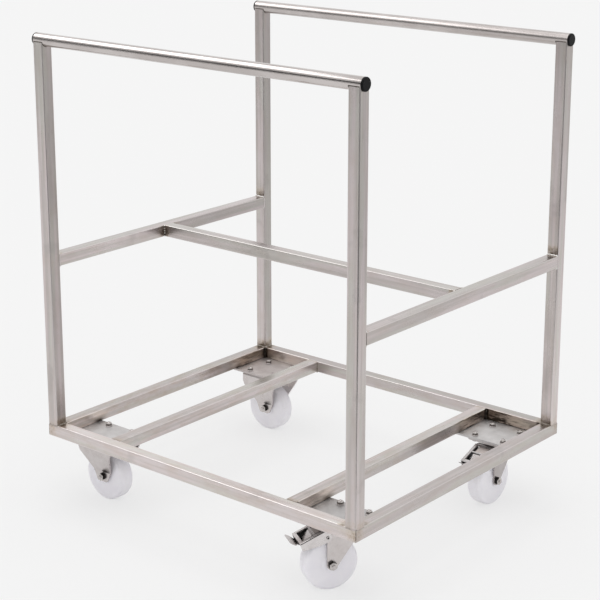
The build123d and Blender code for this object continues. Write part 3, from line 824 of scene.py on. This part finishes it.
def strip_pattern():
    """A flat strip of weld metal, ground level with the tubes, along every edge of a mesh."""
    pattern = Pattern("flush_weld", {"Strip Depth": "Float", "Strip Height": "Float"})
    sockets = {"Width": pattern.given("Strip Depth"), "Height": pattern.given("Strip Height")}
    section = pattern.node("GeometryNodeCurvePrimitiveQuadrilateral", {"mode": "RECTANGLE"}, sockets)
    sockets = {"Curve": pattern.lines(), "Profile Curve": section, "Fill Caps": True}
    return pattern.end(pattern.node("GeometryNodeCurveToMesh", {}, sockets), False)


def fastener_pattern():
    """One fastener on every point of a mesh, each turned about its own axis by chance."""
    pattern = Pattern("fastener_set", {"Fastener": "Object", "Seed": "Int"})
    sockets = {"Object": pattern.given("Fastener")}
    piece = pattern.node("GeometryNodeObjectInfo", {}, sockets, "Geometry")
    turn = pattern.chance((0.0, 0.0, 0.0), (0.0, 0.0, HEX_TURN))
    return pattern.end(pattern.placed(pattern.given("Geometry"), piece, Rotation=turn), False)


def skin(name, rings):
    """A closed surface over rings of points, each ring going the same way round, ends capped."""
    shape = bmesh.new()
    rows = [[shape.verts.new(point) for point in ring] for ring in rings]
    for low, high in zip(rows, rows[1:]):
        for index, vertex in enumerate(low):
            after = (index + 1) % len(low)
            shape.faces.new((vertex, low[after], high[after], high[index]))
    shape.faces.new(list(reversed(rows[0])))
    shape.faces.new(rows[-1])
    mesh = bpy.data.meshes.new(name)
    shape.to_mesh(mesh)
    shape.free()
    return mesh


def round_angles(steps):
    return [2 * math.pi * step / steps for step in range(steps)]


def round_ring(radius, z, steps):
    return [(radius * math.cos(a), radius * math.sin(a), z) for a in round_angles(steps)]


def hex_rings(flats, low, high, cut_low=0, cut_high=0, steps=36):
    """Rings over a hexagon, its corners cut back by a cone at the ends that are marked with a 1."""
    circle = flats / 2 * CHAMFER_CIRCLE
    sixth = math.pi / 3

    def hexagon(z, cut):
        ring = []
        for angle in round_angles(steps):
            reach = flats / 2 / math.cos((angle + sixth / 2) % sixth - sixth / 2)
            level = z + cut * (reach - circle) * CHAMFER_SLOPE
            ring.append((reach * math.cos(angle), reach * math.sin(angle), level))
        return ring

    rings = [round_ring(circle, low, steps)] if cut_low else []
    rings += [hexagon(low, cut_low), hexagon(high, -cut_high)]
    return rings + ([round_ring(circle, high, steps)] if cut_high else [])


def threaded_rings(radius, low, high, pitch, depth, steps=24):
    """Rings over a threaded bolt end with a chamfered tip."""
    count = max(4, round((high - low) / pitch * 8))
    rings = []
    for index in range(count + 1):
        z = low + (high - low) * index / count
        tip = min(1.0, (high - z) / THREAD_TIP)
        ring = []
        for angle in round_angles(steps):
            wave = 0.5 + 0.5 * math.cos(2 * math.pi * z / pitch - angle)
            reach = (radius - depth * wave) * (0.80 + 0.20 * tip)
            ring.append((reach * math.cos(angle), reach * math.sin(angle), z))
        rings.append(ring)
    return rings


def washer_rings(low, high, steps=32):
    eased_radius = WASHER_RADIUS - WASHER_EASE
    profile = [
        (WASHER_BORE, low),
        (eased_radius, low),
        (WASHER_RADIUS, low + WASHER_EASE),
        (WASHER_RADIUS, high - WASHER_EASE),
        (eased_radius, high),
        (WASHER_BORE, high),
    ]
    return [round_ring(radius, z, steps) for radius, z in profile]


def joined(name, meshes, matrices=None):
    """One mesh from several, each with its place."""
    shape = bmesh.new()
    for index, mesh in enumerate(meshes):
        part = mesh.copy()
        if matrices:
            part.transform(matrices[index])
        shape.from_mesh(part)
        bpy.data.meshes.remove(part)
    result = bpy.data.meshes.new(name)
    shape.to_mesh(result)
    shape.free()
    return result


def eased(mesh):
    """Smooth shading that keeps edges sharper than 35 degrees."""
    mesh.shade_smooth()
    mesh.set_sharp_from_angle(angle=math.radians(35))
    return mesh


def bolt_points():
    """The sixteen bolt places on the four mounting plates."""
    return [
        (side * CASTER_X + x, end * CASTER_Y + y, 0.0)
        for side, end in CORNERS for x in (-BOLT_X, BOLT_X) for y in (-BOLT_Y, BOLT_Y)
    ]


def fit(piece, body, slot, *replaced):
    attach(piece, body)
    if replaced:
        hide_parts(*replaced)


def caster_fasteners():
    """Chamfered nuts, threaded bolts and eased washers on the mounting plates."""
    washer_top = FRAME_BOTTOM + WASHER_HEIGHT
    nut_top = washer_top + NUT_HEIGHT
    head_low = CASTER_UNDERSIDE - BOLT_HEAD
    nut = skin("nut", hex_rings(BOLT_FLATS, washer_top, nut_top, cut_high=1))
    end = threaded_rings(BOLT_RADIUS, CASTER_UNDERSIDE, nut_top + BOLT_END, *BOLT_THREAD)
    head = hex_rings(BOLT_FLATS, head_low, CASTER_UNDERSIDE, cut_low=1)
    bolt = joined("bolt", [skin("end", end), skin("head", head)])
    washer = skin("washer", washer_rings(FRAME_BOTTOM, washer_top))
    # Painted dark reflections on the plate nuts' flanks.
    flank = washer_top + 0.0006, nut_top - 0.0014, (0.22, 0.20, 0.19)
    dark = dark_flank_steel("plate_nut_steel", lambda finish: finish.part(2), *flank)
    tree = fastener_pattern()
    for node, mesh, metal, seed in (
        ("caster_nuts", nut, dark, 5),
        ("caster_bolts", bolt, bright_steel, 6),
        ("caster_washers", washer, bright_steel, 7),
    ):
        pattern_piece = bpy.data.objects.new(node + "_one", eased(mesh))
        points = mesh_of(node + "_points", bolt_points())
        values = {"Fastener": pattern_piece, "Seed": seed, "Finish": metal}
        made = grown(node + "_turned", points, tree, values)
        bpy.data.objects.remove(pattern_piece)
        fit(made, "frame", "bright_steel", node)


def axle_frame(centre, outward):
    """The matrix that turns a fastener's z axis along an axle, from the wheel's middle."""
    turn = Vector(outward).to_track_quat("Z", "Y").to_matrix().to_4x4()
    return Matrix.Translation(centre) @ turn


def axle_piece(node, mesh, places, body, material):
    made = link(node + "_turned", eased(joined(node, [mesh] * len(places), places)))
    made.data.materials.append(material)
    fit(made, body, "bright_steel", node)


def axle_fasteners():
    """Chamfered axle nuts and threaded axle bolts in all four casters."""
    nut_face = LEG_OUTER + AXLE_NUT
    nut = skin("axle_nut", hex_rings(AXLE_FLATS, LEG_OUTER, nut_face, cut_high=1))
    head = hex_rings(AXLE_FLATS, -LEG_OUTER - AXLE_HEAD, -LEG_OUTER, cut_low=1)
    shank = [round_ring(AXLE_RADIUS, z, 24) for z in (-LEG_OUTER, LEG_OUTER)]
    end = threaded_rings(AXLE_RADIUS, LEG_OUTER, nut_face + AXLE_END, *AXLE_THREAD)
    bolt = joined("axle_bolt", [skin("head", head), skin("shank", shank), skin("end", end)])
    # Painted dark reflections on the axle nuts' flanks.
    flank = LEG_OUTER, nut_face - 0.0008, (0.035, 0.032, 0.030)
    fixed = []
    for name, side in ENDS.items():
        fixed.append(axle_frame((-CASTER_X, side * CASTER_Y, WHEEL_RADIUS), (0.0, -1.0, 0.0)))
        place = [axle_frame(*swivel_axle(name))]
        dark = dark_flank_steel(
            f"axle_nut_steel_{name}", lambda finish: abs(swivel_axes(finish, name)[1]), *flank
        )
        axle_piece(f"axle_nut_{name}", nut, place, f"swivel_{name}", dark)
        axle_piece(f"axle_bolt_{name}", bolt, place, f"swivel_{name}", bright_steel)
    dark = dark_flank_steel(
        "axle_nut_steel_fixed", lambda finish: abs(abs(finish.part(1)) - CASTER_Y), *flank
    )
    axle_piece("fixed_axle_nuts", nut, fixed, "frame", dark)
    axle_piece("fixed_axle_bolts", bolt, fixed, "frame", bright_steel)


def on_pedal(end_name, share, across, below):
    """A point of a pedal: its share of the way along the top, off the middle plane, below the top."""
    along = PEDAL_NEAR + share * (PEDAL_FAR - PEDAL_NEAR) + below * math.sin(PEDAL_SLOPE)
    height = PEDAL_HIGH + share * (PEDAL_LOW - PEDAL_HIGH) - below * math.cos(PEDAL_SLOPE)
    return swivel_place(end_name, along, across, height)


def lip_rings(end_name):
    """Rings over the level lip at a pedal's upper end, its free corners rounded."""
    outline = [(PEDAL_NEAR, -LIP_HALF_WIDTH), (PEDAL_NEAR, LIP_HALF_WIDTH)]
    for turn in (90, 120, 150, 180):
        angle = math.radians(turn)
        along = LIP_REACH + LIP_CORNER + LIP_CORNER * math.cos(angle)
        outline.append((along, LIP_HALF_WIDTH - LIP_CORNER + LIP_CORNER * math.sin(angle)))
    outline += [(along, -across) for along, across in reversed(outline[2:])]
    low = PEDAL_SHEET - LIP_EASE
    rings = []
    for level, inset in ((PEDAL_SHEET, LIP_EASE), (low, 0.0), (LIP_EASE, 0.0), (0.0, LIP_EASE)):
        ring = []
        for along, across in outline:
            along = along + inset if along < PEDAL_NEAR else along
            shrunk = across * (1 - inset / LIP_HALF_WIDTH)
            ring.append(swivel_place(end_name, along, shrunk, PEDAL_HIGH - level))
        rings.append(ring)
    return rings


def round_folds(mesh, end_name):
    """Rounds the two long folds between a pedal's top and its cheeks."""
    middle = on_pedal(end_name, 0.5, 0.0, 0.0)
    upwards = (on_pedal(end_name, 0.5, 0.0, -1.0) - middle).normalized()
    across = (on_pedal(end_name, 0.5, 1.0, 0.0) - middle).normalized()
    shape = bmesh.new()
    shape.from_mesh(mesh)
    folds = []
    for edge in shape.edges:
        if len(edge.link_faces) == 2:
            turned = [face.normal for face in edge.link_faces]
            top = max(normal.dot(upwards) for normal in turned)
            cheek = max(abs(normal.dot(across)) for normal in turned)
            far = abs((edge.verts[0].co - middle).dot(across)) > LEG_OUTER + 0.002
            if top > 0.99 and cheek > 0.99 and far:
                folds.append(edge)
    settings = {"offset_type": "OFFSET", "segments": 4, "profile": 0.5, "affect": "EDGES"}
    bmesh.ops.bevel(shape, geom=folds, offset=FOLD_RADIUS, **settings)
    shape.to_mesh(mesh)
    shape.free()


def keep_flats(mesh):
    """Flat shading on the broad plane faces, so that the rounded folds do not bend their light."""
    facing = [tuple(round(part, 2) for part in face.normal) for face in mesh.polygons]
    areas = dict.fromkeys(facing, 0.0)
    for face, towards in zip(mesh.polygons, facing):
        areas[towards] += face.area
    for face, towards in zip(mesh.polygons, facing):
        face.use_smooth = areas[towards] < BROAD_FACE


def pierced_pedals():
    """The pedals with a second window above the first, and a level lip at their upper end."""
    low, high = UPPER_WINDOW
    wide = WINDOW_HALF_WIDTH
    window = ((low, -wide), (high, -wide), (high, wide), (low, wide))
    for name in ENDS:
        node = f"brake_pedal_{name}"
        whole = nodes[node].data.copy()
        whole.attributes.remove(whole.attributes["custom_normal"])
        shape = bmesh.new()
        shape.from_mesh(whole)
        bmesh.ops.remove_doubles(shape, verts=shape.verts, dist=1e-6)
        shape.to_mesh(whole)
        shape.free()
        rings = [
            [on_pedal(name, share, across, below) for share, across in window]
            for below in (CUTTER_HALF_DEPTH, -CUTTER_HALF_DEPTH)
        ]
        cutter = link("window_cutter", skin("window_cutter", rings))
        pressing = link("pressing", whole)
        modifier = pressing.modifiers.new("window", "BOOLEAN")
        modifier.operation = "DIFFERENCE"
        modifier.solver = "EXACT"
        modifier.object = cutter
        cut = evaluated_mesh(pressing)
        bpy.data.objects.remove(pressing)
        bpy.data.objects.remove(cutter)
        round_folds(cut, name)
        made = joined(node, [cut, skin("lip", lip_rings(name))])
        made.materials.append(nodes[node].data.materials[0])
        piece = link(node + "_pierced", eased(made))
        keep_flats(made)
        fit(piece, f"pedal_{name}", "caster_steel", node)


def mirrored(*paths):
    """Paths given for the back right corner, in all four corners."""
    return [[(side * x, end * y, z) for x, y, z in path] for side, end in CORNERS for path in paths]


def upright_seams(places, y, low, high):
    """Upright welds at the given distances from the middle."""
    return mirrored(*[((x, y, low), (x, y, high)) for x in places])


def foot_seams():
    """Where the uprights are welded to the base, on the sides turned inwards."""
    corner = (CORNER_X, CORNER_Y, FRAME_TOP)
    outwards = (HALF_LENGTH - 0.004, CORNER_Y, FRAME_TOP)
    return mirrored((corner, (CORNER_X, HALF_WIDTH - 0.004, FRAME_TOP)), (corner, outwards))


def mid_rail_fillets():
    """Where the mid rails are welded into the uprights, above and below."""
    near, far = CORNER_X + 0.003, HALF_LENGTH - 0.003
    levels = (MID_RAIL_BOTTOM, MID_RAIL_TOP)
    return mirrored(*[((near, CORNER_Y, z), (far, CORNER_Y, z)) for z in levels])


def flush_seams():
    """Outer seams that are ground level: the uprights' feet, and the mid rails' inner faces."""
    shy = 0.0026
    x, y, z = HALF_LENGTH - STRIP_SUNK, HALF_WIDTH - STRIP_SUNK, FRAME_TOP - 0.0008
    inner_x, inner_y = CORNER_X + STRIP_SUNK, CORNER_Y + 0.0010
    return mirrored(
        ((CORNER_X + 0.001, y, z), (HALF_LENGTH - shy, y, z)),
        ((x, CORNER_Y + 0.001, z), (x, HALF_WIDTH - shy, z)),
        ((inner_x, inner_y, MID_RAIL_BOTTOM + 0.002), (inner_x, inner_y, MID_RAIL_TOP - 0.002)),
    )


def saddle_paths():
    """Where the push rails are welded into the tops of the uprights."""
    paths = []
    ledge = RAIL_RADIUS * 0.985
    for side, end in CORNERS:
        y = end * MIDDLE_Y
        arc = []
        for step in range(-5, 6):
            angle = math.radians(15 * step)
            drop = RAIL_RADIUS * math.cos(angle)
            arc.append((side * CORNER_X, y + RAIL_RADIUS * math.sin(angle), PUSH_RAIL_Z - drop))
        paths.append(arc)
        near, far = side * (CORNER_X + 0.002), side * (HALF_LENGTH - 0.003)
        for edge in (y - ledge, y + ledge):
            paths.append(((near, edge, UPRIGHT_TOP), (far, edge, UPRIGHT_TOP)))
    return paths


def plate_stitches():
    """Short welds below the tubes, along the three lapped edges of each mounting plate."""
    far_y = CORNER_Y + PLATE_LAP
    z = (PLATE_UNDERSIDE + FRAME_BOTTOM) / 2 + 0.001
    sides = [
        ((x, y, z), (x, y + STITCH, z))
        for x in (INNER_RAIL_X + 0.002, CORNER_X + PLATE_LAP) for y in (0.262, 0.335)
    ]
    return mirrored(*sides, *[((x, far_y, z), (x + STITCH, far_y, z)) for x in (0.300, 0.400)])


def edge_mesh(name, paths):
    points = []
    edges = []
    for path in paths:
        first = len(points)
        points.extend(path)
        edges.extend((first + step, first + step + 1) for step in range(len(path) - 1))
    return mesh_of(name, points, edges)


def weld_beads():
    """Beads in the open seams, with their radius, pitch and seed, and strips in the ground ones."""
    tree = bead_pattern()
    bright = weld_steel("bright_weld", WELD_OXIDE, (0.50, 0.46, 0.42), (0.86, 0.84, 0.82))
    dull = weld_steel("dull_weld", WELD_OXIDE, (0.34, 0.30, 0.25), (0.52, 0.49, 0.46))
    # Painted shade: the near-black weld metal stands in for shade in the bay corners and for the push
    # rails' shadow at the saddles.
    dark = weld_steel("dark_weld", (0.03, 0.024, 0.02), (0.07, 0.056, 0.045), (0.20, 0.18, 0.16))
    shiny = weld_steel("shiny_weld", (0.42, 0.39, 0.36), (0.80, 0.77, 0.75), (0.97, 0.96, 0.95), 0.42)
    wall = CORNER_Y, FRAME_BOTTOM, FRAME_TOP - 0.004
    corners = upright_seams((CORNER_X, BAY_X), *wall)
    open_sides = upright_seams((INNER_RAIL_X - TUBE / 2,), *wall)
    bar_wall = TUBE / 2 + 0.0004, MID_RAIL_BOTTOM + 0.002, MID_RAIL_TOP - 0.002
    bar = upright_seams((CORNER_X - 0.0004,), *bar_wall)
    for name, paths, radius, pitch, metal, seed in (
        ("foot_weld_beads", foot_seams(), 0.0021, 0.0022, dull, 3),
        ("fillet_weld_beads", mid_rail_fillets(), 0.0034, 0.0030, shiny, 4),
        ("corner_weld_beads", corners, 0.0021, 0.0026, dark, 5),
        ("inner_rail_weld_beads", open_sides, 0.0018, 0.0022, dull, 6),
        ("bar_weld_roots", bar, 0.0021, 0.0022, dark, 7),
        ("bar_weld_beads", bar, 0.0028, 0.0062, bright, 8),
        ("saddle_weld_beads", saddle_paths(), 0.0012, 0.0011, dark, 9),
        ("plate_weld_beads", plate_stitches(), 0.0024, 0.0018, dull, 10),
    ):
        values = {"Bead Radius": radius, "Bead Pitch": pitch, "Seed": seed, "Finish": metal}
        fit(grown(name, edge_mesh(name + "_paths", paths), tree, values), "frame", "frame_steel")
    heat = [(FRAME_TOP, 0, HALF_LENGTH, 0.42), (FRAME_TOP, 1, HALF_WIDTH, 0.42)]
    metal = ground_steel("ground_seam", 2, {0: MIDDLE_X, 1: MIDDLE_Y}, 0.60, welds=heat)
    values = {"Strip Depth": STRIP_DEPTH, "Strip Height": STRIP_HEIGHT, "Finish": metal}
    seams = edge_mesh("flush_paths", flush_seams())
    fit(grown("flush_weld_strips", seams, strip_pattern(), values), "frame", "frame_steel")


def card(name, inner, outer, low, high, start, stop):
    """A plain studio card on an arc round the dolly, seen only in the metal; gives its finish."""
    steps = 24
    points = []
    for index in range(steps + 1):
        angle = math.radians(start + (stop - start) * index / steps)
        points.append((inner * math.cos(angle), inner * math.sin(angle), low))
        points.append((outer * math.cos(angle), outer * math.sin(angle), high))
    faces = [(2 * i, 2 * i + 2, 2 * i + 3, 2 * i + 1) for i in range(steps)]
    made = link(name, mesh_of(name, points, (), faces))
    made.visible_camera = False
    made.visible_diffuse = False
    made.visible_shadow = False
    finish = Finish(name)
    made.data.materials.append(finish.material)
    return finish


def matt_card(finish, colour):
    finish.ended(finish.principled(Base_Color=paint(colour), **MATT))


def seen_directly(sheet):
    """1 for what the camera sees itself, in metal or through something clear."""
    kinds = ("Camera", "Glossy", "Transmission")
    return highest([sheet.node("ShaderNodeLightPath", {}, {}, f"Is {kind} Ray") for kind in kinds])


def pale_floor():
    """A pale matt floor that glows a little, so that the shadow on it stays faint."""
    finish = Finish("pale_floor")
    paper = finish.principled(Base_Color=paint(FLOOR), **MATT)
    glow = finish.node("ShaderNodeEmission", {}, {"Color": paint(1.0), "Strength": PALE})
    sockets = {0: seen_directly(finish) * GLOW, 1: paper, 2: glow}
    return finish.ended(finish.node("ShaderNodeMixShader", {}, sockets))


def studio():
    """Pale floor and backdrop, a broad sun overhead and a faint one behind.

    A softbox overhead and dark cards on the camera's side show only in the metal and the gloss.
    """
    world = bpy.data.worlds.new("studio")
    bpy.context.scene.world = world
    world.use_nodes = True
    sheet = Sheet(world.node_tree)
    level = FILL + seen_directly(sheet) * (PALE - FILL)
    light = sheet.node("ShaderNodeBackground", {}, {"Color": paint(1.0), "Strength": level})
    sheet.node("ShaderNodeOutputWorld", {}, {"Surface": light})

    reach = FLOOR_REACH
    corners = [(-reach, -reach, 0.0), (reach, -reach, 0.0), (reach, reach, 0.0), (-reach, reach, 0.0)]
    floor = link("floor", mesh_of("floor", corners, (), [(0, 1, 2, 3)]))
    floor.data.materials.append(pale_floor())
    sun("overhead", 0.0, 90.0, 60.0, 0.85)
    sun("behind", 132.0, 24.0, 24.0, 0.012)
    softbox("softbox", (-4.4, -2.25), (-1.55, 0.1), 3.5, 1.75)
    wall = card("dark_wall", 7.0, 7.0, 0.0, 4.6, -175.0, 15.0)
    height = wall.part(2)
    shade = height.step(0.2, 2.3) * height.fall(2.7, 4.6)
    left = (wall.part(0) * -1.0).step(3.6, 6.4)
    matt_card(wall, wall.blend(shade, 0.80, wall.blend(left, 0.10, 0.36)))
    for name, inner, outer, z, start, stop, grey in (
        ("dark_floor", 1.9, 7.0, 0.004, -98.0, -2.0, 0.12),
        ("dark_strip", 1.1, 1.9, 0.004, -66.0, -34.0, 0.12),
        ("grey_floor", 2.4, 9.0, 0.003, -2.0, 51.0, 0.60),
    ):
        matt_card(card(name, inner, outer, z, z, start, stop), grey)


def lamp(name, kind, **settings):
    light = bpy.data.lights.new(name, kind)
    for setting, value in settings.items():
        setattr(light, setting, value)
    return link(name, light)


def softbox(name, near, far, height, brightness):
    """A flat lamp overhead, between two corners in plan, that only the metal and the gloss show."""
    length, width = far[0] - near[0], far[1] - near[1]
    energy = brightness * math.pi * length * width
    made = lamp(name, "AREA", shape="RECTANGLE", size=length, size_y=width, energy=energy)
    made.location = ((near[0] + far[0]) / 2, (near[1] + far[1]) / 2, height)
    made.visible_camera = False
    made.visible_diffuse = False


def direction(azimuth, elevation):
    turn, rise = math.radians(azimuth), math.radians(elevation)
    return Vector((math.cos(rise) * math.cos(turn), math.cos(rise) * math.sin(turn), math.sin(rise)))


def aimed(made, place, towards):
    made.location = place
    made.rotation_euler = towards.to_track_quat("-Z", "Y").to_euler()


def sun(name, azimuth, elevation, spread, strength):
    out = direction(azimuth, elevation)
    aimed(lamp(name, "SUN", angle=math.radians(spread), energy=strength), out * SUN_AWAY, -out)


def camera():
    """The photograph's point of view: image taken as 600 by 600."""
    lens = bpy.data.cameras.new("view")
    lens.sensor_width = 36.0
    lens.lens = FOCAL_PIXELS * lens.sensor_width / IMAGE_PIXELS
    lens.shift_y = CAMERA_SHIFT
    lens.clip_end = 100.0
    made = link("view", lens)
    aimed(made, CAMERA_PLACE, direction(CAMERA_YAW, CAMERA_PITCH))
    bpy.context.scene.camera = made


bpy.context.scene.view_settings.view_transform = "Standard"
bright_steel = pressed_sheet_steel("bright_fastener_steel", 0.60, 0.20)
dress_base()
dress_uprights()
dress_rails()
dress_casters()
caster_fasteners()
axle_fasteners()
pierced_pedals()
weld_beads()
studio()
camera()
